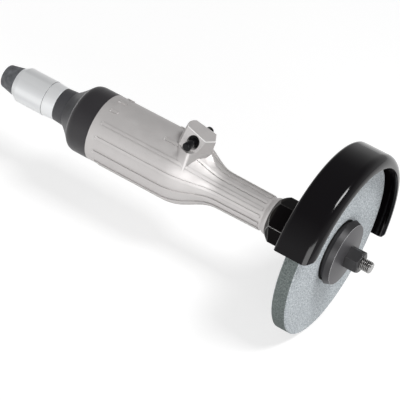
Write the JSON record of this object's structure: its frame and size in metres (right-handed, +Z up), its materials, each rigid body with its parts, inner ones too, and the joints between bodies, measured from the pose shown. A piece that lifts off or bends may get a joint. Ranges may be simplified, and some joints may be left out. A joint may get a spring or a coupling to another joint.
{
  "type": "air straight grinder",
  "caption": "hand-held air straight grinder: ribbed cast body with a cross throttle, long neck, hexagonal nose, half-round wheel guard and a straight grinding wheel",
  "frame": {"origin": "on the spindle axis, at the front face of the clamp nut, where the spindle's free end begins", "axes": "+X along the spindle and out through its free end; +Z up through the throttle boss; +Y across the tool along the throttle valve, to the left of a holder who looks along +X"},
  "size_m": [0.3541, 0.1653, 0.16],
  "materials": {
    "cast_aluminium": "satin",
    "steel": "satin",
    "plated_steel": "satin",
    "blackened_steel": "satin",
    "bearing_steel": "gloss",
    "cast_iron": "matte",
    "brass": "satin",
    "black_rubber": "matte",
    "black_polymer": "satin",
    "black_paint": "gloss",
    "abrasive": "matte",
    "blotter_paper": "matte",
    "felt": "matte",
    "blade_resin": "satin"
  },
  "bodies": {
    "housing": {"motor_housing": "cast_aluminium", "valve_bushes": "blackened_steel", "guard_ring": "blackened_steel", "nose_cap": "blackened_steel", "felt_seal": "felt", "bearing_spacer": "steel", "front_end_plate": "cast_iron", "rear_end_plate": "cast_iron", "cylinder_liner": "cast_iron", "exhaust_ring": "black_polymer", "rear_cover": "black_polymer", "inlet_bushing": "plated_steel", "inlet_strainer": "brass", "cap_nut": "plated_steel", "hose_adapter": "black_polymer", "nose_bearing_outer_race": "bearing_steel", "neck_bearing_outer_race": "bearing_steel", "rotor_front_bearing_outer_race": "bearing_steel", "rotor_rear_bearing_outer_race": "bearing_steel"},
    "spindle": {"spindle": "steel", "clamp_nut": "blackened_steel", "outer_flange": "blackened_steel", "back_flange": "blackened_steel", "grinding_wheel": "abrasive", "wheel_blotters": "blotter_paper", "rotor": "steel", "rotor_blades": "blade_resin", "nose_bearing_inner_race": "bearing_steel", "nose_bearing_balls": "bearing_steel", "neck_bearing_inner_race": "bearing_steel", "neck_bearing_balls": "bearing_steel", "rotor_front_bearing_inner_race": "bearing_steel", "rotor_front_bearing_balls": "bearing_steel", "rotor_rear_bearing_inner_race": "bearing_steel", "rotor_rear_bearing_balls": "bearing_steel"},
    "throttle": {"throttle_spool": "blackened_steel", "spool_o_rings": "black_rubber"},
    "guard": {"wheel_guard": "black_paint"}
  },
  "joints": [
    {"name": "spindle_spin", "type": "hinge", "parent": "housing", "child": "spindle", "pos_m": [0, 0, 0], "axis": [1, 0, 0], "continuous": true},
    {"name": "throttle_slide", "type": "slide", "parent": "housing", "child": "throttle", "axis": [0, 1, 0], "range_m": [0, 0.005]},
    {"name": "guard_swivel", "type": "hinge", "parent": "housing", "child": "guard", "pos_m": [-0.0439, 0, 0], "axis": [1, 0, 0], "range_deg": [-90, 90]}
  ]
}
